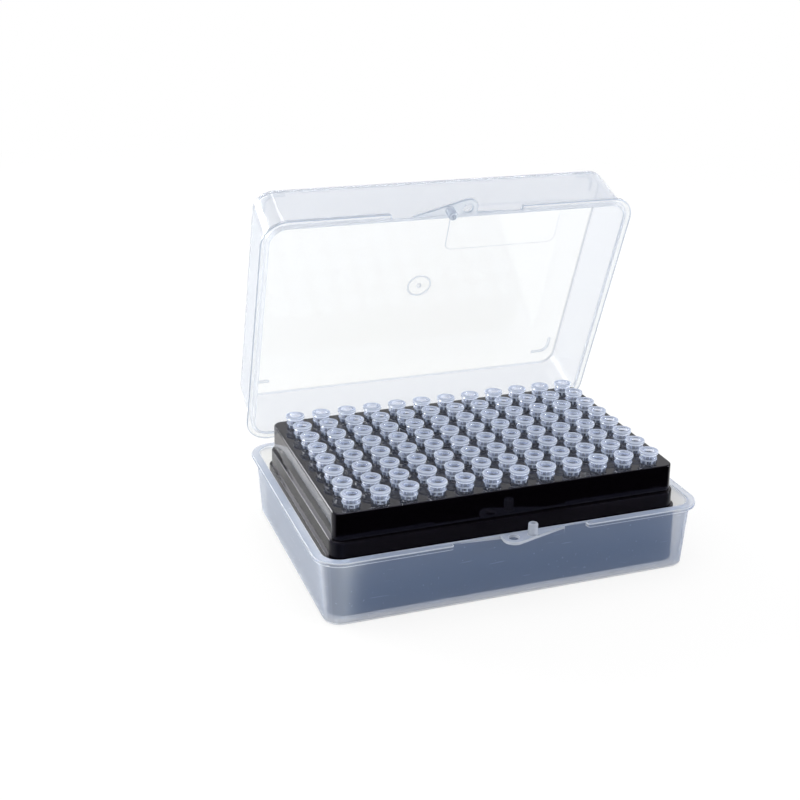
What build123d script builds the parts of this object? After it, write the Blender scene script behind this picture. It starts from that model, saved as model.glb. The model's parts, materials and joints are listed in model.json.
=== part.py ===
"""A hinged box of pipette tips: a base, a flip lid, a drop-in rack and 96 tips. Millimetres, +Z up."""
import math
import os

from build123d import *

# ---------------------------------------------------------------- driving dimensions

# The grid of tips, on the spacing of a pipette with eight or twelve channels.
tip_pitch = 9.0
tip_columns = 12
tip_rows = 8

# One tip. Depths are measured down from its rim.
tip_length = 32.0
tip_rim_radius = 3.1
tip_rim_height = 0.95
tip_rim_round = 0.25
tip_neck_radius = 2.62
tip_neck_slope = 0.45
tip_ring_radius = 2.8
tip_ring_depth = 2.5
tip_ring_height = 0.45
tip_ring_round = 0.15
tip_body_radius = 2.08
tip_rib_count = 8
tip_rib_width = 0.5
tip_rib_root = 0.1
tip_rib_top_radius = 2.62
tip_rib_foot_radius = 1.98
tip_rib_foot_depth = 8.2
tip_shoulder_depth = 9.2
tip_shoulder_radius = 1.78
tip_cone_radius = 1.5
tip_end_radius = 0.45
tip_end_bore = 0.2
tip_wall = 0.55
tip_mouth_radius = 2.15
tip_mouth_depth = 0.9
tip_socket_radius = 1.75
tip_socket_length = 3.2
tip_turn_step = 137.5

# How a tip hangs in the rack.
tip_rim_above_deck = 3.9
tip_seat_gap = 0.02
tip_end_above_floor = 4.3

# The rack, a shell in three tiers that stands on the base's floor. Depths are measured down from its deck.
deck_end_margin = 6.7
deck_side_margin = 5.2
deck_corner = 3.2
deck_thickness = 2.0
deck_edge_round = 0.55
hole_chamfer = 0.35
rack_wall = 1.5
rack_draft = 1.0
collar_depth = 8.8
collar_step = 0.85
skirt_depth = 14.1
skirt_step = 0.85
ledge_round = 0.35
rack_foot_gap = 0.05
rack_end_gap = 0.65
rack_side_gap = 2.55

# Both halves of the box: walls, and a flange round the rim that stops at the latch.
wall = 1.2
rim_corner = 8.5
rim_gap = 0.2
flange_overhang = 1.6
flange_thickness = 1.3
flange_round = 0.35
latch_gap = 44.0
latch_gap_round = 1.1
floor_round = 0.8

# The base.
rim_height = 22.4
base_draft = 3.7
base_edge_round = 1.0

# The lid, which stands partly open.
lid_headroom = 4.4
lid_draft = 1.5
lid_edge_round = 1.0
lid_opening = 68.2

# The living hinge along the back of both rims.
hinge_setback = 1.1
web_end_margin = 21.2
web_thickness = 0.35

# The latch: each half has a flat ear with one hole and one hollow peg.
ear_thickness = 0.95
ear_land = 0.2
ear_end_radius = 3.4
ear_taper_end = 14.7
peg_offset = 3.1
peg_radius = 1.5
peg_bore = 0.8
peg_height = 3.8
peg_bore_depth = 3.4
peg_round = 0.45
peg_gap = 0.2

# Moulded detail on the lid's panel, placed from the panel's edges.
label_end_margin = 13.1
label_front_margin = 11.7
label_length = 41.0
label_width = 17.0
label_corner = 2.5
label_depth = 0.35
stack_end_inset = 4.0
stack_front_inset = 2.9
stack_back_inset = 6.1
stack_corner = 3.0
stack_leg = 3.2
stack_rib_width = 0.7
stack_rib_height = 0.6
gate_ring_radius = 4.1
gate_ring_width = 0.45
gate_radius = 0.8
gate_height = 0.3

# ---------------------------------------------------------------- worked out from them


def spread(height, draft):
    """How much the length or width of a drafted block changes over a height."""
    return 2 * height * math.tan(math.radians(draft))


# From the tips out: the deck carries their grid, the base's floor takes the rack's foot, the rim follows.
deck_length = (tip_columns - 1) * tip_pitch + 2 * deck_end_margin
deck_width = (tip_rows - 1) * tip_pitch + 2 * deck_side_margin
deck_height = wall + tip_end_above_floor + tip_length - tip_rim_above_deck
rack_foot = wall + rack_foot_gap
rack_growth = 2 * (collar_step + skirt_step) + spread(deck_height - rack_foot, rack_draft)
base_depth = rim_height - rim_gap / 2
base_growth = spread(base_depth - wall, base_draft) + 2 * wall
wall_length = deck_length + rack_growth + 2 * rack_end_gap + base_growth
wall_width = deck_width + rack_growth + 2 * rack_side_gap + base_growth
wall_corner = rim_corner - flange_overhang
rim_length = wall_length + 2 * flange_overhang
rim_width = wall_width + 2 * flange_overhang

# The lid is as deep as the tips need, and its panel is what the draft leaves of its rim.
tip_rim_z = deck_height + tip_rim_above_deck
lid_depth = tip_rim_z + lid_headroom + wall - rim_height - rim_gap / 2
panel_length = wall_length - spread(lid_depth, lid_draft)
panel_width = wall_width - spread(lid_depth, lid_draft)

hinge_y = rim_width / 2 + hinge_setback
web_length = rim_length - 2 * web_end_margin
web_depth = (rim_gap + flange_thickness) / 2
tip_rib_top_depth = tip_ring_depth + tip_ring_height
ear_y = -wall_width / 2 - ear_land - peg_radius - peg_gap

# Where the lid stands: lid_back points from the middle of its rim to the hinge, lid_out through its panel.
lid_turn = math.radians(lid_opening)
lid_back = Vector(0, math.cos(lid_turn), -math.sin(lid_turn))
lid_out = Vector(0, math.sin(lid_turn), math.cos(lid_turn))
hinge_point = Vector(0, hinge_y, rim_height)

# Each half is drawn from its rim's face, with +Z to the other half, so the lid's X runs the other way.
base_face = Plane.XY.offset(base_depth)
lid_face = Plane(
    origin=hinge_point - lid_back * hinge_y + lid_out * (rim_gap / 2),
    x_dir=(-1, 0, 0),
    z_dir=lid_out * -1,
)


def cone_radius(depth, top_depth, top_radius, foot_depth, foot_radius):
    """The radius at one depth of a cone that is given at two."""
    share = (depth - top_depth) / (foot_depth - top_depth)
    return top_radius + (foot_radius - top_radius) * share


def rib_radius(depth):
    """Outer radius of a tip's ribs."""
    return cone_radius(depth, tip_rib_top_depth, tip_rib_top_radius, tip_rib_foot_depth, tip_rib_foot_radius)


def body_radius(depth):
    """Outer radius of a tip's body between its ribs."""
    return cone_radius(depth, tip_rib_top_depth, tip_body_radius, tip_shoulder_depth, tip_shoulder_radius)


# The outer corners of the ribs meet the foot of a hole's chamfer.
hole_radius = math.hypot(rib_radius(tip_rim_above_deck + hole_chamfer), tip_rib_width / 2) + tip_seat_gap


# ---------------------------------------------------------------- the tips


def make_tip():
    """One tip on the origin's axis, its rim at z = 0. Its ribs are what rests in a hole of the rack."""
    with BuildPart() as tip:
        with BuildSketch(Plane.XZ):
            with BuildLine():
                Polyline(
                    (tip_mouth_radius, 0),
                    (tip_rim_radius - tip_rim_round, 0),
                    (tip_rim_radius, -tip_rim_round),
                    (tip_rim_radius, -tip_rim_height),
                    (tip_neck_radius, -tip_rim_height - tip_neck_slope),
                    (tip_neck_radius, -tip_ring_depth + tip_ring_round),
                    (tip_ring_radius, -tip_ring_depth),
                    (tip_ring_radius, -tip_rib_top_depth),
                    (tip_body_radius, -tip_rib_top_depth),
                    (tip_shoulder_radius, -tip_shoulder_depth),
                    (tip_cone_radius, -tip_shoulder_depth - tip_neck_slope),
                    (tip_end_radius, -tip_length),
                    (tip_end_bore, -tip_length),
                    (tip_cone_radius - tip_wall, -tip_shoulder_depth - tip_neck_slope - tip_wall),
                    (tip_shoulder_radius - tip_wall, -tip_shoulder_depth),
                    (tip_socket_radius, -tip_mouth_depth - tip_socket_length),
                    (tip_socket_radius, -tip_mouth_depth),
                    close=True,
                )
            make_face()
        revolve(axis=Axis.Z)
        with BuildSketch(Plane.XZ):
            with BuildLine():
                Polyline(
                    (body_radius(tip_rib_top_depth) - tip_rib_root, -tip_rib_top_depth),
                    (tip_rib_top_radius, -tip_rib_top_depth),
                    (tip_rib_foot_radius, -tip_rib_foot_depth),
                    (body_radius(tip_rib_foot_depth) - tip_rib_root, -tip_rib_foot_depth),
                    close=True,
                )
            make_face()
        rib = extrude(amount=tip_rib_width / 2, both=True)
        for step in range(1, tip_rib_count):
            add(rib.rotate(Axis.Z, step * 360 / tip_rib_count))
    return tip.part.solid()


def make_columns():
    """Columns of eight tips, as a pipette with eight channels takes them. Each tip has its own turn."""
    tip = make_tip()
    columns = []
    for column in range(tip_columns):
        x = (column - (tip_columns - 1) / 2) * tip_pitch
        tips = []
        for row in range(tip_rows):
            y = (row - (tip_rows - 1) / 2) * tip_pitch
            turn = tip_turn_step * (column * tip_rows + row)
            tips.append(tip.moved(Location((x, y, tip_rim_z), (0, 0, turn))))
        group = Compound(children=tips)
        group.label = f"tips_column_{column + 1:02d}"
        columns.append(group)
    return columns


# ---------------------------------------------------------------- the rack


def make_rack():
    """A shell in three tiers, open below, with one hole for each tip."""
    tops = [deck_height, deck_height - collar_depth, deck_height - skirt_depth]
    bottoms = [*tops[1:], rack_foot]
    ceilings = [deck_height - deck_thickness, tops[1] - rack_wall, tops[2] - rack_wall]
    floors = [*ceilings[1:], rack_foot]
    rounds = [deck_edge_round, ledge_round, ledge_round]
    growths = [0]
    for step, top, bottom in zip([collar_step, skirt_step], tops, bottoms):
        growths.append(growths[-1] + spread(top - bottom, rack_draft) + 2 * step)
    with BuildPart() as rack:
        for top, bottom, growth, radius in zip(tops, bottoms, growths, rounds):
            with BuildSketch(Plane.XY.offset(top)):
                RectangleRounded(deck_length + growth, deck_width + growth, deck_corner + growth / 2)
            extrude(amount=bottom - top, taper=-rack_draft)
            ledge = rack.faces(Select.LAST).filter_by(Axis.Z).sort_by(Axis.Z)[-1]
            fillet(ledge.outer_wire().edges(), radius)
        for top, ceiling, floor, growth in zip(tops, ceilings, floors, growths):
            inside = growth + spread(top - ceiling, rack_draft) - 2 * rack_wall
            with BuildSketch(Plane.XY.offset(ceiling)):
                RectangleRounded(deck_length + inside, deck_width + inside, deck_corner + inside / 2)
            extrude(amount=floor - ceiling, taper=-rack_draft, mode=Mode.SUBTRACT)
        with BuildSketch(Plane.XY.offset(ceilings[0])):
            with GridLocations(tip_pitch, tip_pitch, tip_columns, tip_rows):
                Circle(hole_radius)
        extrude(amount=deck_thickness, mode=Mode.SUBTRACT)
        circles = rack.edges(Select.LAST).filter_by(GeomType.CIRCLE)
        chamfer(circles.group_by(Axis.Z)[-1], hole_chamfer)
    rack.part.label = "tip_rack"
    return rack.part


# ---------------------------------------------------------------- the box


def make_ear(face):
    """The latch ear at the front of a rim, its hole on one side of the middle and its peg on the other."""
    root_y = (wall - wall_width) / 2
    with BuildPart() as ear:
        with BuildSketch(face):
            with Locations((-peg_offset, ear_y)):
                Circle(ear_end_radius)
            with BuildLine():
                Polyline(
                    (-peg_offset - ear_end_radius, root_y),
                    (ear_taper_end, root_y),
                    (ear_taper_end, -wall_width / 2),
                )
            make_hull()
            with Locations((0, root_y)):
                Rectangle(rim_length, ear_end_radius, align=(Align.CENTER, Align.MIN), mode=Mode.SUBTRACT)
        extrude(amount=-ear_thickness)
        with BuildSketch(face):
            with Locations((-peg_offset, ear_y)):
                Circle(peg_radius + peg_gap)
        extrude(amount=-ear_thickness, mode=Mode.SUBTRACT)
        with BuildSketch(face):
            with Locations((peg_offset, ear_y)):
                Circle(peg_radius)
        extrude(amount=peg_height)
        tip = ear.faces().sort_by(Axis(face.origin, face.z_dir))[-1]
        fillet(tip.edges(), peg_round)
        with BuildSketch(face.offset(peg_height)):
            with Locations((peg_offset, ear_y)):
                Circle(peg_bore)
        extrude(amount=-peg_bore_depth, mode=Mode.SUBTRACT)
    return ear.part


def make_flange(face):
    """The slab that becomes the rim's flange, with a gap at the front for the latch."""
    up = Axis(face.origin, face.z_dir)
    with BuildPart() as flange:
        with BuildSketch(face) as outline:
            RectangleRounded(rim_length, rim_width, rim_corner)
            with Locations((0, -rim_width / 2)):
                Rectangle(latch_gap, 2 * flange_overhang + wall, mode=Mode.SUBTRACT)
            ends = outline.vertices().group_by(Axis.Y)[0].sort_by(lambda corner: abs(corner.X))[:2]
            fillet(ends, latch_gap_round)
        extrude(amount=-flange_thickness)
        levels = flange.faces().sort_by(up)
        fillet(levels[0].edges() + levels[-1].edges(), flange_round)
    return flange.part


def make_half(face, depth, draft, edge_round):
    """One half of the box, below its rim's face: a drafted tray, the rim's flange and the latch ear."""
    flange = make_flange(face)
    ear = make_ear(face)
    up = Axis(face.origin, face.z_dir)
    with BuildPart() as half:
        with BuildSketch(face):
            RectangleRounded(wall_length, wall_width, wall_corner)
        extrude(amount=-depth, taper=draft)
        fillet(half.faces().sort_by(up)[0].edges(), edge_round)
        add(flange)
        with BuildSketch(face):
            RectangleRounded(wall_length - 2 * wall, wall_width - 2 * wall, wall_corner - wall)
        extrude(amount=wall - depth, taper=draft, mode=Mode.SUBTRACT)
        floor = half.faces(Select.LAST).sort_by(up)[0]
        fillet(floor.edges(), floor_round)
        add(ear)
    return half.part


def make_base():
    half = make_half(base_face, base_depth, base_draft, base_edge_round)
    half.label = "base_box"
    return half


def make_lid():
    """The lid's half, with what is moulded into its panel: label field, stacking ribs and gate ring."""
    half = make_half(lid_face, lid_depth, lid_draft, lid_edge_round)
    panel = lid_face.offset(-lid_depth)
    label_x = (panel_length - label_length) / 2 - label_end_margin
    label_y = (label_width - panel_width) / 2 + label_front_margin
    stack_length = panel_length - 2 * stack_end_inset
    stack_width = panel_width - stack_front_inset - stack_back_inset
    stack_y = (stack_front_inset - stack_back_inset) / 2
    with BuildPart() as lid:
        add(half)
        with BuildSketch(panel):
            with Locations((-label_x, label_y)):
                RectangleRounded(label_length, label_width, label_corner)
        extrude(amount=label_depth, mode=Mode.SUBTRACT)
        with BuildSketch(panel):
            with Locations((0, stack_y)):
                RectangleRounded(
                    stack_length + stack_rib_width,
                    stack_width + stack_rib_width,
                    stack_corner + stack_rib_width / 2,
                )
                RectangleRounded(
                    stack_length - stack_rib_width,
                    stack_width - stack_rib_width,
                    stack_corner - stack_rib_width / 2,
                    mode=Mode.SUBTRACT,
                )
                Rectangle(stack_length - 2 * (stack_corner + stack_leg), rim_width, mode=Mode.SUBTRACT)
                Rectangle(rim_length, stack_width - 2 * (stack_corner + stack_leg), mode=Mode.SUBTRACT)
        extrude(amount=-stack_rib_height)
        with BuildSketch(panel):
            Circle(gate_ring_radius + gate_ring_width / 2)
            Circle(gate_ring_radius - gate_ring_width / 2, mode=Mode.SUBTRACT)
            Circle(gate_radius)
        extrude(amount=-gate_height)
    lid.part.label = "lid"
    return lid.part


def make_web():
    """The living hinge's thin web, bent round the hinge line as far as the lid is short of lying open."""
    bend = 180 - lid_opening
    half_bend = math.tan(math.radians(bend / 2))
    radius = (hinge_setback + web_depth * half_bend) / half_bend
    middle = rim_height - web_depth
    skin = web_thickness / 2
    with BuildPart() as web:
        with BuildSketch(Plane.YZ):
            with BuildLine():
                under = JernArc((rim_width / 2, middle - skin), (1, 0), radius + skin, bend)
                over = JernArc((rim_width / 2, middle + skin), (1, 0), radius - skin, bend)
                Line(under @ 0, over @ 0)
                Line(under @ 1, over @ 1)
            make_face()
        extrude(amount=web_length / 2, both=True)
    web.part.label = "hinge_web"
    return web.part


# ---------------------------------------------------------------- written out


def main():
    os.makedirs("parts", exist_ok=True)
    for piece in [make_base(), make_lid(), make_web(), make_rack(), *make_columns()]:
        export_step(piece, f"parts/{piece.label}.step")


main()
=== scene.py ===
# %% [markdown]
# # A box of pipette tips
#
# The object is a hinged box of clear polypropylene. A black rack stands in its base, and 96 small
# tips hang in the rack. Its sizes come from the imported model, which is loaded first and never
# moved. What this file adds is the looks: the finish of every surface, the light and the camera.

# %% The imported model
import json
import math

import bpy
from mathutils import Euler, Matrix, Vector


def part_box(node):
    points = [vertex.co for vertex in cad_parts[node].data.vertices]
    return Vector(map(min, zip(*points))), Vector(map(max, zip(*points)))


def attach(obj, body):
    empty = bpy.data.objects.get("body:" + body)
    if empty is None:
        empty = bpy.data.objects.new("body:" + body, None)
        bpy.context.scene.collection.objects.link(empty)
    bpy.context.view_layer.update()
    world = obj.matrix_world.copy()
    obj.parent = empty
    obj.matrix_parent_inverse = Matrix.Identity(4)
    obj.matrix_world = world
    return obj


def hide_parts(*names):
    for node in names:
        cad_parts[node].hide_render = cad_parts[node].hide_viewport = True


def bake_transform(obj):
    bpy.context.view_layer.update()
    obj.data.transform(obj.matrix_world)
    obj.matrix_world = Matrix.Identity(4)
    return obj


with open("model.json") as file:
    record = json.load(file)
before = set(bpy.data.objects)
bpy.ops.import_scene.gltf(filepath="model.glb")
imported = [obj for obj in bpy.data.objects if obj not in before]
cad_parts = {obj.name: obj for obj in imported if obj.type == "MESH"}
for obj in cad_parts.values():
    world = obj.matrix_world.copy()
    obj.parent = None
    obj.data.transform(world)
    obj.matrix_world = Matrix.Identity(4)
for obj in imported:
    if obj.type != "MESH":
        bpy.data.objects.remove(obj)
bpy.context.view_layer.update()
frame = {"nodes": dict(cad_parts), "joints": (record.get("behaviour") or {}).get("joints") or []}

nodes = frame["nodes"]

# %% [markdown]
# ## Camera
#
# The camera comes first, because every finish is judged through it. It looks down on the open box
# from the front left, from a little over 40 cm, through a lens of 59 mm. A lens that long keeps
# the box's edges nearly parallel. The small sideways shift puts the box a little left of the
# lens's axis without turning the camera away from it.

# %% Camera
camera_place = Vector((-0.1524, -0.3664, 0.2064))
camera_azimuth = math.radians(-21.25)
camera_elevation = math.radians(21.70)
camera_roll = math.radians(1.22)

lens = bpy.data.cameras.new("camera")
lens.lens = 59.44
lens.sensor_width = 36
lens.shift_x = -0.05
lens.clip_start = 0.01
camera = bpy.data.objects.new("camera", lens)
aim = Euler((math.pi / 2 - camera_elevation, 0, camera_azimuth)).to_matrix()
turned = aim @ Matrix.Rotation(camera_roll, 3, "Z")
camera.matrix_world = Matrix.Translation(camera_place) @ turned.to_4x4()
bpy.context.scene.collection.objects.link(camera)
bpy.context.scene.camera = camera
print("camera looks along", (-turned.col[2]).to_tuple(3))

# %% [markdown]
# ## Colours and nodes
#
# Colours are written as the sRGB hex values that a colour picker shows. Shaders work in linear
# light, so one function converts them. A second function adds a shader node with its settings and
# its links in one call, which keeps each material short enough to read at a glance.


# %% Helpers for materials
def linear(hex_colour):
    """A shader's linear colour from sRGB hex, such as "#5b677c"."""
    values = [int(hex_colour[i : i + 2], 16) / 255 for i in (1, 3, 5)]
    return (*[v / 12.92 if v <= 0.04045 else ((v + 0.055) / 1.055) ** 2.4 for v in values], 1.0)


def node(tree, kind, settings=(), links=()):
    """Adds a node. Settings are its properties or inputs, and links are inputs fed by outputs."""
    made = tree.nodes.new("ShaderNode" + kind)
    for name, value in dict(settings).items():
        if isinstance(name, int) or name in made.inputs:
            made.inputs[name].default_value = value
        else:
            setattr(made, name, value)
    for name, output in dict(links).items():
        tree.links.new(output, made.inputs[name])
    return made


def new_material(name):
    """An empty node material and its tree."""
    material = bpy.data.materials.new(name)
    material.use_nodes = True
    material.node_tree.nodes.clear()
    return material, material.node_tree


print("the grey #808080 in linear light:", round(linear("#808080")[0], 3))

# %% [markdown]
# ## Studio: the air
#
# Clear plastic has hardly any colour of its own. It is seen by what it bends and mirrors, so the
# studio is a bright field: white behind and around the object, and dark in front of it. Each kind
# of ray gets its own share of that. Mirrored rays see the whole field, which gives the gloss its
# bright and dark sides. Rays bent through plastic see a paler copy of it. Rays that carry light
# to the object get one even level, and what is seen directly is plain white.

# %% World
bright_side = (-0.42, 0.85, 0.32)
dark_until, bright_from = -0.45, 0.25  # how far a ray points to the bright side, from -1 to 1
dark_level = 0.006
bent_dark_level = 0.45
even_level = 0.74
seen_level = 1.0

world = bpy.data.worlds.new("studio")
world.use_nodes = True
bpy.context.scene.world = world
air = world.node_tree
air.nodes.clear()
path = node(air, "LightPath")
direction = node(air, "TexCoord")
toward = node(
    air, "VectorMath", {"operation": "DOT_PRODUCT", 1: bright_side},
    {0: direction.outputs["Generated"]},
)
field = node(
    air, "MapRange",
    {
        "From Min": dark_until, "From Max": bright_from, "To Min": dark_level,
        "interpolation_type": "SMOOTHSTEP",
    },
    {"Value": toward.outputs["Value"]},
)
carried = node(
    air, "Mix", {"data_type": "FLOAT", 2: even_level},
    {0: path.outputs["Is Glossy Ray"], 3: field.outputs[0]},
)
bent = node(air, "MapRange", {"To Min": bent_dark_level}, {"Value": field.outputs[0]})
passed = node(
    air, "Mix", {"data_type": "FLOAT"},
    {0: path.outputs["Is Transmission Ray"], 2: carried.outputs[0], 3: bent.outputs[0]},
)
level = node(
    air, "Mix", {"data_type": "FLOAT", 3: seen_level},
    {0: path.outputs["Is Camera Ray"], 2: passed.outputs[0]},
)
backdrop = node(
    air, "Background", {"Color": linear("#ffffff")}, {"Strength": level.outputs[0]},
)
node(air, "OutputWorld", links={"Surface": backdrop.outputs[0]})
print("world:", len(air.nodes), "nodes")

# %% [markdown]
# ## Studio: the lamps
#
# Four square soft boxes stand round the object and face its middle. The one behind shines
# through the lid and makes its milky edges glow. The one above gives an even level on the tips.
# The one on the right is small, so its highlights are crisp, and the one on the left lights the
# base's side through its wall. Area lamps are used because a wide source gives the soft shadows
# and the broad highlights that a moulded part shows best.


# %% Lamps
def soft_lamp(name, place, width, watts, colour="#ffffff"):
    """A square area lamp that faces the middle of the object and isn't seen itself."""
    light = bpy.data.lights.new(name, "AREA")
    light.size = width
    light.energy = watts
    light.color = linear(colour)[:3]
    lamp = bpy.data.objects.new(name, light)
    lamp.location = place
    toward_box = Vector((0, 0, 0.03)) - Vector(place)
    lamp.rotation_euler = toward_box.to_track_quat("-Z", "Y").to_euler()
    lamp.visible_camera = False
    bpy.context.scene.collection.objects.link(lamp)
    print(name, "of", watts, "W and", width, "m")


soft_lamp("lamp_behind", place=(-0.45, 0.98, 0.42), width=0.40, watts=4.8)
soft_lamp("lamp_above", place=(-0.10, 0.15, 1.00), width=0.70, watts=5.0)
soft_lamp("lamp_right", place=(0.95, -0.42, 0.30), width=0.22, watts=5.0)
soft_lamp("lamp_left", place=(-0.78, 0.82, 0.30), width=0.50, watts=8.0, colour="#fdfff4")

# %% [markdown]
# ## Studio: the floor
#
# The floor is one matt pale sheet, and it keeps the object's shadow. A matt sheet alone would end
# in a grey horizon and would show grey through the plastic, so a white glow is mixed in for some
# rays. What is seen directly is mostly glow by the object, and all glow further out, where floor
# and air become one white. Through the plastic the glow begins a little way off, so the floor
# under the box keeps its shade. In mirrors the floor is white behind the object and dark in front
# of it, as the air is.

# %% Floor
floor_width = 6
mirrored_dark_until, mirrored_white_from = -0.058, -0.018  # along Y, in metres
mirrored_dark = 0.01
fade_from, fade_to = 0.25, 0.70  # metres from the middle of the object
near_glow = 0.8
beside_from, beside_to = 0.07, 0.16
under_glow = 0.1

bpy.ops.object.select_all(action="DESELECT")
bpy.ops.mesh.primitive_plane_add(size=floor_width, location=(0, 0, 0))
floor = bpy.context.object
floor.name = "floor"
white_floor, tree = new_material("white floor")
path = node(tree, "LightPath")
spot = node(tree, "TexCoord")
matt = node(tree, "BsdfDiffuse", {"Color": linear("#e6e6e6")})

# In mirrors: dark in front of the object, white from its middle backwards.
axes = node(tree, "SeparateXYZ", links={0: spot.outputs["Object"]})
lit_part = node(
    tree, "MapRange",
    {
        "From Min": mirrored_dark_until, "From Max": mirrored_white_from, "To Min": mirrored_dark,
        "interpolation_type": "SMOOTHSTEP",
    },
    {"Value": axes.outputs["Y"]},
)
brightness = node(
    tree, "Mix", {"data_type": "FLOAT", 2: 1.0},
    {0: path.outputs["Is Glossy Ray"], 3: lit_part.outputs[0]},
)
glow = node(
    tree, "Emission", {"Color": linear("#ffffff")}, {"Strength": brightness.outputs[0]},
)

# Seen directly: whiter with the distance from the object.
away = node(tree, "VectorMath", {"operation": "LENGTH"}, {0: spot.outputs["Object"]})
whiter = node(
    tree, "MapRange",
    {
        "From Min": fade_from, "From Max": fade_to, "To Min": near_glow,
        "interpolation_type": "SMOOTHSTEP",
    },
    {"Value": away.outputs["Value"]},
)
seen = node(
    tree, "Math", {"operation": "MULTIPLY"},
    {0: path.outputs["Is Camera Ray"], 1: whiter.outputs[0]},
)

# Seen through plastic: glowing from beside the object outwards.
beside = node(
    tree, "MapRange", {"From Min": beside_from, "From Max": beside_to, "To Min": under_glow},
    {"Value": away.outputs["Value"]},
)
passed = node(
    tree, "Math", {"operation": "MULTIPLY"},
    {0: path.outputs["Is Transmission Ray"], 1: beside.outputs[0]},
)
direct = node(tree, "Math", {"operation": "MAXIMUM"}, {0: seen.outputs[0], 1: passed.outputs[0]})
share = node(
    tree, "Math", {"operation": "MAXIMUM"},
    {0: direct.outputs[0], 1: path.outputs["Is Glossy Ray"]},
)
surface = node(
    tree, "MixShader", links={0: share.outputs[0], 1: matt.outputs[0], 2: glow.outputs[0]},
)
node(tree, "OutputMaterial", links={"Surface": surface.outputs[0]})
floor.data.materials.append(white_floor)
print("floor of", floor.dimensions.x, "m:", len(tree.nodes), "nodes")

# %% [markdown]
# ## Natural polypropylene
#
# The box and the tips are unpigmented polypropylene. It is clear, but it holds tiny crystals that
# scatter light: blue light back, and the rest on through. So it looks blue-grey over black and
# nearly white over white, and it is whitest where it is thick. A volume would show that, but it is
# slow and noisy. Here a share of each surface scatters instead, and an attribute called
# milk_and_glow says, face by face, where the plastic is thick and where its edge gathers light. On
# those edges the whiter scatter is a painted highlight, standing in for the light that the edge
# gathers. Lamps and bounced light go straight through it, which keeps its shadow pale and the
# picture free of grain.
#
# A moulded wall isn't perfectly flat: as it shrinks, it gets soft waves about 2 cm wide. Handling
# leaves fine scuffs and specks. Real ones are a tenth of a millimetre wide, too fine to show, so
# they are drawn about 0.7 mm wide and few.

# %% Natural plastic: its patterns
wave_scale = 55.0  # one wave in 18 mm
wave_height = 0.0001
speck_scale = 1100.0  # one cell in 0.9 mm
scuff_scale = (120, 120, 1500)  # cells 8 mm long and 0.7 mm wide
scuff_turn = (0.3, 0.35, 0.2)
mark_from, mark_full = 0.80, 0.85  # only the highest peaks of the noises become marks
through_share = 0.45  # of the scattered light, what goes on through
thin_shade = "#fafbfc"  # what a clear wall leaves of the light that passes
polypropylene_ior = 1.49
print("scuffs:", [round(1000 / scale, 1) for scale in scuff_scale], "mm")


# %% Natural plastic
def natural_plastic(
    name, haze, milk_and_glow_haze, thin_blue, through_white, thick_and_glow, tint, shade, roughness, wear, waves,
):
    """Clear polypropylene that scatters haze of the light, or milk_and_glow_haze of it where milky
    and where an edge is painted bright.
    """
    material, tree = new_material(name)
    path = node(tree, "LightPath")
    spot = node(tree, "TexCoord").outputs["Object"]
    milk_and_glow = node(tree, "Attribute", {"attribute_name": "milk_and_glow"}).outputs["Fac"]

    # The share that scatters: more where it is milky and where edges get painted highlight, and a
    # little more on specks and scuffs.
    depth = node(tree, "MapRange", {"To Min": haze, "To Max": milk_and_glow_haze}, {"Value": milk_and_glow})
    speck = node(tree, "TexNoise", {"Scale": speck_scale, "Detail": 0.0}, {"Vector": spot})
    lay = node(tree, "Mapping", {"Rotation": scuff_turn, "Scale": scuff_scale}, {"Vector": spot})
    scuff = node(tree, "TexNoise", {"Scale": 1.0, "Detail": 0.0}, {"Vector": lay.outputs[0]})
    marks = node(
        tree, "Math", {"operation": "MAXIMUM"}, {0: speck.outputs["Fac"], 1: scuff.outputs["Fac"]},
    )
    worn = node(
        tree, "MapRange", {"From Min": mark_from, "From Max": mark_full, "To Max": wear},
        {"Value": marks.outputs[0]},
    )
    share = node(
        tree, "Math", {"operation": "ADD", "use_clamp": True},
        {0: depth.outputs[0], 1: worn.outputs[0]},
    )

    # Clear plastic with soft waves, and the two ways that the crystals scatter.
    flow = node(tree, "TexNoise", {"Scale": wave_scale, "Detail": 1.0}, {"Vector": spot})
    ripple = node(
        tree, "Bump", {"Strength": waves, "Distance": wave_height}, {"Height": flow.outputs["Fac"]},
    )
    clear = node(tree, "BsdfPrincipled", {
        "Base Color": linear(tint), "Roughness": roughness, "IOR": polypropylene_ior,
        "Transmission Weight": 1.0,
    }, {"Normal": ripple.outputs[0]})
    # thick_and_glow is the whiter scatter colour of thick plastic, and on edges a painted
    # highlight.
    blue = node(
        tree, "Mix", {"data_type": "RGBA", 6: linear(thin_blue), 7: linear(thick_and_glow)}, {0: milk_and_glow},
    )
    white = node(
        tree, "Mix", {"data_type": "RGBA", 6: linear(through_white), 7: linear(thick_and_glow)}, {0: milk_and_glow},
    )
    back = node(tree, "BsdfDiffuse", links={"Color": blue.outputs[2]})
    through = node(tree, "BsdfTranslucent", links={"Color": white.outputs[2]})
    scatter = node(
        tree, "MixShader", {0: through_share}, {1: back.outputs[0], 2: through.outputs[0]},
    )
    body = node(
        tree, "MixShader", links={0: share.outputs[0], 1: clear.outputs[0], 2: scatter.outputs[0]},
    )

    # Lamplight and bounced light pass straight through, a little dimmed.
    dim = node(
        tree, "Mix", {"data_type": "RGBA", 6: linear(thin_shade), 7: linear(shade)}, {0: milk_and_glow},
    )
    passing = node(tree, "BsdfTransparent", links={"Color": dim.outputs[2]})
    bounced = node(tree, "MixShader", links={
        0: path.outputs["Is Diffuse Ray"], 1: body.outputs[0], 2: passing.outputs[0],
    })
    surface = node(tree, "MixShader", links={
        0: path.outputs["Is Shadow Ray"], 1: bounced.outputs[0], 2: passing.outputs[0],
    })
    node(tree, "OutputMaterial", links={"Surface": surface.outputs[0]})
    print(name + ":", len(tree.nodes), "nodes")
    return material
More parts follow.
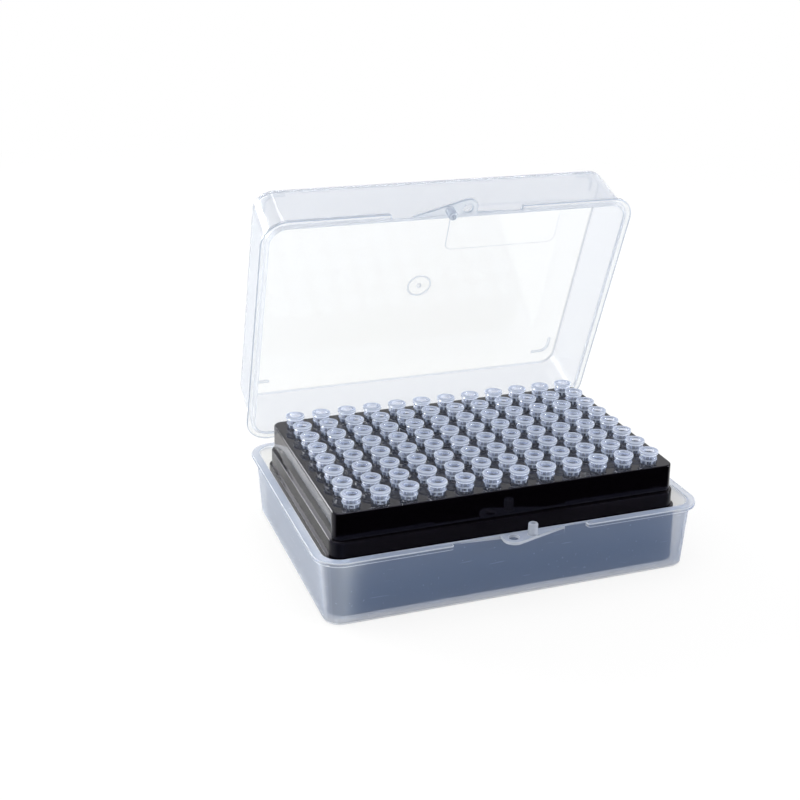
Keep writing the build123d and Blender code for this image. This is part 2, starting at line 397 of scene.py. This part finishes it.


# %% [markdown]
# ## Three grades of natural polypropylene
#
# Base, lid and tips are the same plastic, but they don't look the same. The base's wall is seen
# against the black rack, so its blue shows, and it is scuffed from lying on benches. The lid is
# seen against the light, which hides the blue and brings out the milky edges. The tips are thin,
# polished and never handled, so they are nearly clear between their milky rings.

# %% Base, lid and tip plastic
# In each grade, thick_and_glow colours the thick plastic and the painted highlight on edges.
base_plastic = natural_plastic(
    "natural polypropylene, base", haze=0.33, milk_and_glow_haze=0.66, thin_blue="#8ba5d2",
    through_white="#fdfcfa", thick_and_glow="#eef2fb", tint="#fffdf8", shade="#b4b8be",
    roughness=0.05, wear=0.11, waves=0.1,
)
lid_plastic = natural_plastic(
    "natural polypropylene, lid", haze=0.29, milk_and_glow_haze=0.92, thin_blue="#b2bdd6",
    through_white="#fefefb", thick_and_glow="#a4afc0", tint="#fffefc", shade="#c8ccd2",
    roughness=0.08, wear=0.0, waves=0.02,
)
tip_plastic = natural_plastic(
    "natural polypropylene, tips", haze=0.04, milk_and_glow_haze=0.80, thin_blue="#86a6ec",
    through_white="#f6f8ff", thick_and_glow="#eef4ff", tint="#f4f7ff", shade="#e0e4e8",
    roughness=0.02, wear=0.0, waves=0.0,
)

# %% [markdown]
# ## Black polypropylene
#
# The rack is polypropylene with carbon black in it, moulded against a polished steel. The carbon
# swallows nearly all light, so the eye gets only the gloss: sharp mirrored tips on the deck, a
# bright line where an edge turns to the light, and pure black where nothing bright is mirrored.
# A dark Principled shader would do, but a real moulding is never perfectly flat or evenly glossy.
# Plastic shrinks as it cools, which leaves soft waves about a centimetre wide, and boxes rub on
# each other, which leaves dull patches of a few millimetres. Two noises give both.

# %% Black plastic
sink_scale = 90.0  # one wave in 11 mm
sink_strength = 0.35
rub_scale = 450.0  # patches of about 2 mm, with finer ones in them
rub_from, rub_to = 0.35, 0.75  # the range that the noise really fills
glossy, rubbed = 0.03, 0.14

black_plastic, tree = new_material("black polypropylene, rack")
spot = node(tree, "TexCoord").outputs["Object"]
flow = node(tree, "TexNoise", {"Scale": sink_scale, "Detail": 2.0}, {"Vector": spot})
rub = node(
    tree, "TexNoise", {"Scale": rub_scale, "Detail": 4.0, "Roughness": 0.7}, {"Vector": spot},
)
gloss = node(
    tree, "MapRange",
    {"From Min": rub_from, "From Max": rub_to, "To Min": glossy, "To Max": rubbed},
    {"Value": rub.outputs["Fac"]},
)
wave = node(
    tree, "Bump", {"Strength": sink_strength, "Distance": wave_height},
    {"Height": flow.outputs["Fac"]},
)
rack_shell = node(tree, "BsdfPrincipled", {
    "Base Color": linear("#030204"), "IOR": polypropylene_ior,
    "Specular IOR Level": 0.30, "Specular Tint": linear("#dcd8f4"),
}, {"Roughness": gloss.outputs[0], "Normal": wave.outputs[0]})
node(tree, "OutputMaterial", links={"Surface": rack_shell.outputs[0]})
print(black_plastic.name + ":", len(tree.nodes), "nodes")

# %% [markdown]
# ## The halves' own frames
#
# The base and the lid are mirror images at their rims. Both are finished with the same rules, so
# the rules need a depth below the rim that means the same in both. For the lid, the joint's own
# numbers turn its points shut, and there its depth is the height above the rim.

# %% Halves
hinge = frame["joints"][0]
pivot = Vector(hinge["pos_m"])
rim_z = pivot.z
shut_angle = math.radians(hinge["range_deg"][0])
shut_turn = Matrix.Rotation(shut_angle, 4, Vector(hinge["axis"]))
to_shut = Matrix.Translation(pivot) @ shut_turn @ Matrix.Translation(-pivot)
mirror_rim = Matrix.Translation((0, 0, 2 * rim_z)) @ Matrix.Scale(-1, 4, (0, 0, 1))
half_frame = {"base_box": Matrix.Identity(4), "lid": mirror_rim @ to_shut}
print("rim at", round(rim_z * 1000, 2), "mm, hinge at y", round(pivot.y * 1000, 2), "mm")

# %% [markdown]
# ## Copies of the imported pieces
#
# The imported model's meshes are right in shape, but they are loose triangles with hard edges, and
# they may not be changed. So each piece is a copy. Its triangles are merged, and then it can get
# rounded edges, smooth shading and an attribute. Four small functions do the steps that the
# pieces share.


# %% Copies
def merged_copy(name):
    """A copy of a node's mesh with its loose triangles joined."""
    piece = bpy.data.objects.new(name + "_moulding", nodes[name].data.copy())
    bpy.context.scene.collection.objects.link(piece)
    bpy.ops.object.select_all(action="DESELECT")
    piece.select_set(True)
    bpy.context.view_layer.objects.active = piece
    if piece.data.has_custom_normals:
        bpy.ops.mesh.customdata_custom_splitnormals_clear()
    corners = len(piece.data.vertices)
    bpy.ops.object.mode_set(mode="EDIT")
    bpy.ops.mesh.select_all(action="SELECT")
    bpy.ops.mesh.remove_doubles(threshold=1e-6)
    bpy.ops.object.mode_set(mode="OBJECT")
    print(name, "merged from", corners, "to", len(piece.data.vertices), "corners")
    return piece


def apply_modifier(piece, kind, **settings):
    """Adds a modifier with its settings and applies it."""
    modifier = piece.modifiers.new(kind.lower(), kind)
    for name, value in settings.items():
        setattr(modifier, name, value)
    bpy.context.view_layer.objects.active = piece
    bpy.ops.object.modifier_apply(modifier=modifier.name)


# %% Finish
def finish_surface(piece, material, angle=32):
    """Smooth shading with crisp edges, and one material."""
    bpy.ops.object.select_all(action="DESELECT")
    piece.select_set(True)
    bpy.context.view_layer.objects.active = piece
    bpy.ops.object.shade_smooth_by_angle(angle=math.radians(angle))
    apply_modifier(piece, "WEIGHTED_NORMAL", keep_sharp=True)
    piece.data.materials.clear()
    piece.data.materials.append(material)
    print(piece.name, len(piece.data.polygons), "faces")


def paint_milk_and_glow(piece, rule):
    """Writes how milky each face looks, painted highlight included, from 0 to 1, by a rule on its
    place and normal.
    """
    layer = piece.data.attributes.new("milk_and_glow", "FLOAT", "FACE")
    layer.data.foreach_set("value", [rule(face) for face in piece.data.polygons])


# %% [markdown]
# ## Where the halves are milky, and where they get painted highlight
#
# Thick plastic looks milky. Every eased edge gathers light, and that light is painted: the edge
# gets the same whiter scatter as a painted highlight. The rule reads a face's depth below the rim
# and how flat it lies. It makes the latch ear and the peg milky. The rim's rounds and the round at
# the foot of the walls are thick plastic with painted glow. It leaves the walls clear, except the
# base's two end walls, which get a little whiter scatter as painted light on the box's sides. On
# the lid's panel, the outlines of the label field, the stacking ribs and the gate ring get painted
# highlight too.

# %% Box halves: places in metres
rim_band = 0.0014  # how deep the rim and its skirt reach
foot_round = 0.0175  # where the walls begin to round into the floor
peg_clearance = 0.0001  # only the peg stands this far above the rim
panel_side, panel_front, panel_back = 0.0584, -0.0418, 0.040
panel_depth, detail_depth = 0.0202, 0.0208  # the lid's panel, and what stands out from it
ear_reach, ear_half_width = 0.0065, 0.0165
front_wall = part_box("base_box")[0].y + ear_reach
before_wall = 0.0003  # a face this far before the front wall belongs to the ear
flat, upright = 0.96, 0.1  # how far a face's normal points up: a lying face, a standing face
print("front wall at y", round(front_wall * 1000, 2), "mm")


# %% Box halves: the rule of milkiness and painted highlight
def half_milk_and_glow(name):
    """The rule of milkiness and painted highlight for one half of the box."""
    to_half = half_frame[name]
    turn = to_half.to_3x3()
    is_lid = name == "lid"

    def rule(face):
        place = to_half @ face.center
        depth = rim_z - place.z
        rise = abs((turn @ face.normal).z)
        rounded = upright < rise < flat
        eased = face.material_index == 1
        if depth < -peg_clearance:  # the peg
            return 0.55
        on_panel = abs(place.x) < panel_side and panel_front < place.y < panel_back
        # Lid panel: outlines and raised tops get whiter scatter, a painted highlight on the moulded
        # details.
        if is_lid and on_panel and depth > panel_depth:  # outlines, raised tops, the panel itself
            return 0.8 if rise < flat else 0.4 if depth > detail_depth else 0.0
        # Eased edges get whiter scatter: a painted highlight for the light that they gather.
        if eased and depth > rim_band:  # eased edges below the rim
            return 0.75
        # The foot round is thick plastic, and its whiter scatter is also a painted glow for the
        # floor's light in it.
        if rounded and depth > foot_round:  # the round at the foot of the walls
            return 0.3 if is_lid else 1.0
        # The base's two end walls get a little whiter scatter: painted light on the box's sides.
        if depth > rim_band:  # walls: clear, but the base's two end walls are a little milky
            return 0.0 if is_lid else max(0.0, abs(face.normal.x) - 0.6) * 0.55
        on_ear = place.y < front_wall - before_wall and abs(place.x) < ear_half_width
        if on_ear:
            return 0.75 if rise < 0.95 else 0.3
        # The rim's rounds and eased edges: thick plastic, with a painted highlight on the edges.
        return 0.85 if rounded or eased else 0.0  # the rim

    return rule


# %% [markdown]
# ## The two halves
#
# Base and lid are thin-walled mouldings of one shape, mirrored at the rim. The mould's edges are
# eased by a polisher's stone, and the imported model's are sharp, so a Bevel modifier eases those
# sharper than 50 degrees by 0.12 mm. Its new faces get the second material index, which is only a
# mark: the rule of milkiness reads it, and then every face goes back to the first.
#
# Shut, the two rims are 0.2 mm apart, each 0.1 mm from the hinge's height. Where two edges meet at
# a shallow angle beside the latch ear, the modifier lifts a corner by 0.15 mm, so base and lid
# would cut through each other there. What reaches past the hinge's height is put back on it.

# %% Box halves
eased_width = 0.00012
eased_over = math.radians(50)


def keep_halves_apart(half, name):
    """Puts corners that easing lifted past the plane between the two halves back on it."""
    to_half = half_frame[name]
    back = to_half.inverted()
    put_back = 0
    for corner in half.data.vertices:
        place = to_half @ corner.co
        if 0.0 < place.z - rim_z < eased_width:
            place.z = rim_z
            corner.co = back @ place
            put_back += 1
    print(name, put_back, "corners put back")


for name, body, plastic in (("base_box", "base", base_plastic), ("lid", "lid", lid_plastic)):
    half = merged_copy(name)
    half.data.materials.clear()
    half.data.materials.append(plastic)
    half.data.materials.append(plastic)
    apply_modifier(
        half, "BEVEL", width=eased_width, segments=2, use_clamp_overlap=False,
        limit_method="ANGLE", angle_limit=eased_over, material=1,
    )
    keep_halves_apart(half, name)
    paint_milk_and_glow(half, half_milk_and_glow(name))
    half.data.polygons.foreach_set("material_index", [0] * len(half.data.polygons))
    finish_surface(half, plastic)
    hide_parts(name)
    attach(half, body)

# %% [markdown]
# ## Hinge film
#
# A living hinge is a strip of the same plastic, moulded so thin that it can bend thousands of
# times. It belongs to both halves, so it rides on neither of them: it is a merged copy that stays
# where the imported model has it, and it doesn't bend here.

# %% Hinge film
film_milk = 0.2

film = merged_copy("hinge_web")
paint_milk_and_glow(film, lambda face: film_milk)
finish_surface(film, base_plastic)
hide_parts("hinge_web")
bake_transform(film)

# %% [markdown]
# ## Rack
#
# The rack is one black shell in three tiers with 96 holes in its deck. Its shape needs nothing
# added, so it is a merged copy with smooth shading on its rounds.

# %% Rack
rack = merged_copy("tip_rack")
finish_surface(rack, black_plastic)
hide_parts("tip_rack")
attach(rack, "base")

# %% [markdown]
# ## A tip
#
# A pipette tip is a long cone with a bore right through it. What shows above the deck is its
# mouth: a flat ring, a band round it, a neck, a bead, and the tops of eight ribs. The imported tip
# is a plain turned shape, so this one is made anew, as a lathe would: one circle is extruded and
# resized, ring by ring, down the outside, round the open end, and up the bore to where it began.
# The numbers are radius and height, so the profile can be read like a drawing. 32 segments are
# enough for a ring 6 mm across, and eight ribs divide them evenly.

# %% Tip: its profile
mm = 0.001
tip_segments = 32
tip_ribs = 8
rib_top, rib_foot = -2.95, -8.2
# Radius and height below the rim, in millimetres.
tip_rings = [
    # The mouth's edge, the flat ring and the band.
    (1.96, -0.02), (2.50, 0.0), (2.86, 0.0),
    (3.03, -0.07), (3.10, -0.25), (3.10, -0.80), (3.02, -0.98),
    # The neck and the bead.
    (2.72, -1.32), (2.70, -2.33), (2.76, -2.42),
    (2.80, -2.55), (2.80, -2.80), (2.72, -2.93), (2.40, rib_top),
    # The body, the cone and its open end.
    (2.08, rib_top), (1.83, rib_foot), (1.78, -9.20), (1.50, -9.65),
    (0.47, -31.9), (0.43, -32.0), (0.22, -32.0),
    # Up the bore.
    (0.95, -10.2), (1.23, -9.20), (1.75, -4.10),
    (1.75, -0.95), (1.77, -0.45), (1.87, -0.09),
]
print("profile of", len(tip_rings), "rings")

# %% Tip: rings
first_radius, first_height = tip_rings[0]
bpy.ops.object.select_all(action="DESELECT")
bpy.ops.mesh.primitive_circle_add(
    vertices=tip_segments, radius=first_radius * mm, location=(0, 0, 0),
)
one_tip = bpy.context.object
bpy.ops.object.mode_set(mode="EDIT")
bpy.ops.mesh.select_all(action="SELECT")
bpy.ops.transform.translate(value=(0, 0, first_height * mm))
for (radius, height), (next_radius, next_height) in zip(tip_rings, tip_rings[1:]):
    down = (0, 0, (next_height - height) * mm)
    bpy.ops.mesh.extrude_edges_move(TRANSFORM_OT_translate={"value": down})
    grow = next_radius / radius
    bpy.ops.transform.resize(value=(grow, grow, 1))
bpy.ops.mesh.select_all(action="SELECT")
bpy.ops.object.mode_set(mode="OBJECT")
print("rings made:", len(one_tip.data.vertices) // tip_segments)


# %% Selecting by place
def pick(piece, kind, test):
    """Selects, in edit mode, the vertices or faces that pass a test, and nothing else."""
    bpy.ops.object.mode_set(mode="EDIT")
    bpy.ops.mesh.select_all(action="DESELECT")
    bpy.ops.mesh.select_mode(type="VERT" if kind == "vertices" else "FACE")
    bpy.ops.object.mode_set(mode="OBJECT")
    for item in getattr(piece.data, kind):
        item.select = test(item)
    bpy.ops.object.mode_set(mode="EDIT")


def from_axis(point):
    """A point's distance from the tip's axis, in millimetres."""
    return math.hypot(point.x, point.y) / mm


# %% [markdown]
# ## Closing the tip and raising its ribs
#
# The first and the last ring meet at the mouth's edge, and a bridge between the two loops closes
# the surface. The ribs grow from every fourth face of the body: those faces are extruded, pushed
# outwards, and drawn in again at the foot, so that each rib fades into the cone.

# %% Tip: closing the ring
pick(one_tip, "vertices", lambda v: v.co.z > -0.15 * mm and from_axis(v.co) < 2.3)
bpy.ops.mesh.bridge_edge_loops()
bpy.ops.object.mode_set(mode="OBJECT")
print("closed tip:", len(one_tip.data.polygons), "faces")

# %% Tip: ribs
segment_turn = 2 * math.pi / tip_segments
faces_per_rib = tip_segments // tip_ribs
body_radius, rib_radius = 2.08, 2.56
raised_foot, drawn_foot = 2.25, 1.98
bore_radius = 1.84  # the body's faces lie outside it


def on_rib(face):
    """True for the faces of the body that a rib grows from."""
    middle = face.center
    step = int((math.atan2(middle.y, middle.x) % (2 * math.pi)) / segment_turn)
    on_body = rib_foot < middle.z / mm < rib_top and from_axis(middle) > bore_radius
    return on_body and step % faces_per_rib == 0


pick(one_tip, "polygons", on_rib)
bpy.ops.mesh.extrude_region_move()
bpy.ops.transform.resize(value=(rib_radius / body_radius, rib_radius / body_radius, 1))
pick(one_tip, "vertices", lambda v: abs(v.co.z / mm - rib_foot) < 0.01 and from_axis(v.co) > 2.1)
bpy.ops.transform.resize(value=(drawn_foot / raised_foot, drawn_foot / raised_foot, 1))
pick(one_tip, "vertices", lambda v: True)
bpy.ops.mesh.normals_make_consistent(inside=False)
bpy.ops.object.mode_set(mode="OBJECT")
print("one tip:", len(one_tip.data.polygons), "faces")

# %% [markdown]
# ## Where a tip is milky, and where it gets painted highlight
#
# The rim's edges gather the most light, then its flat ring, the bead and the ribs' outer faces. The
# tip's milky share follows that order, so on these faces it is mostly a painted highlight.
# The bore and the body between the ribs are clear, so the dark rack shows through them.


# %% Tip: the rule of milkiness and painted highlight
inner_radius = 2.1  # the mouth's slope lies inside it, and the ribs outside
band_top, band_foot, rim_foot = -0.3, -0.75, -1.0
neck_foot, bead_foot = -2.4, -2.9


def tip_milk_and_glow(face):
    """How milky a face of the tip is, with its painted highlight, by its height and radius in
    millimetres.
    """
    middle = face.center / mm
    radius = math.hypot(middle.x, middle.y)
    if radius < 1.78 and middle.z < -0.5:  # the bore
        return 0.0
    if middle.z > -0.02:  # the flat ring
        return 0.65
    if middle.z > rim_foot and radius < inner_radius:  # the mouth's slope
        return 0.3
    # The band's rounds get the strongest painted highlight, and its side less.
    if middle.z > rim_foot:  # the band: its rounds, then its side
        return 0.9 if middle.z > band_top or middle.z < band_foot else 0.42
    if bead_foot < middle.z < neck_foot:
        return 0.65
    if middle.z > neck_foot:
        return 0.26
    if rib_foot < middle.z < rib_top and radius > inner_radius:  # ribs: outer faces, then sides
        outward = (face.normal.x * middle.x + face.normal.y * middle.y) / radius
        return 0.6 if outward > 0.9 else 0.15
    return 0.06


paint_milk_and_glow(one_tip, tip_milk_and_glow)
milkiness = [value.value for value in one_tip.data.attributes["milk_and_glow"].data]
print("milkiness of a tip:", round(min(milkiness), 2), "to", round(max(milkiness), 2))

# %% [markdown]
# ## 96 tips
#
# The painted tip is copied 96 times, 9 mm apart, each copy with its own mesh. People drop tips
# into a rack at random, so each is turned by 137.5 degrees more than the last, an angle that
# never repeats: the ribs don't line up, and the same tips come out each time. The eight tips of
# a column are joined into one piece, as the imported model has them.

# %% Tips in their columns
tip_pitch = 9.0 * mm
columns, rows = 12, 8
turn_per_tip = 137.5
middle_row = (rows - 1) / 2

for column in range(columns):
    name = f"tips_column_{column + 1:02d}"
    low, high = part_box(name)
    parts = []
    for row in range(rows):
        part = bpy.data.objects.new(name, one_tip.data.copy())
        bpy.context.scene.collection.objects.link(part)
        turn = Matrix.Rotation(math.radians(turn_per_tip * (column * rows + row)), 4, "Z")
        place = Vector(((low.x + high.x) / 2, (row - middle_row) * tip_pitch, high.z))
        part.data.transform(Matrix.Translation(place) @ turn)
        parts.append(part)
    bpy.ops.object.select_all(action="DESELECT")
    for part in parts:
        part.select_set(True)
    bpy.context.view_layer.objects.active = parts[0]
    bpy.ops.object.join()
    tips = bpy.context.object
    tips.name = name + "_moulding"
    finish_surface(tips, tip_plastic, angle=40)
    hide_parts(name)
    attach(tips, "base")
bpy.data.objects.remove(one_tip)
print("tips:", columns * rows)

# %% [markdown]
# ## The view
#
# The picture uses the Standard view transform.

# %% The view
bpy.context.scene.view_settings.view_transform = "Standard"
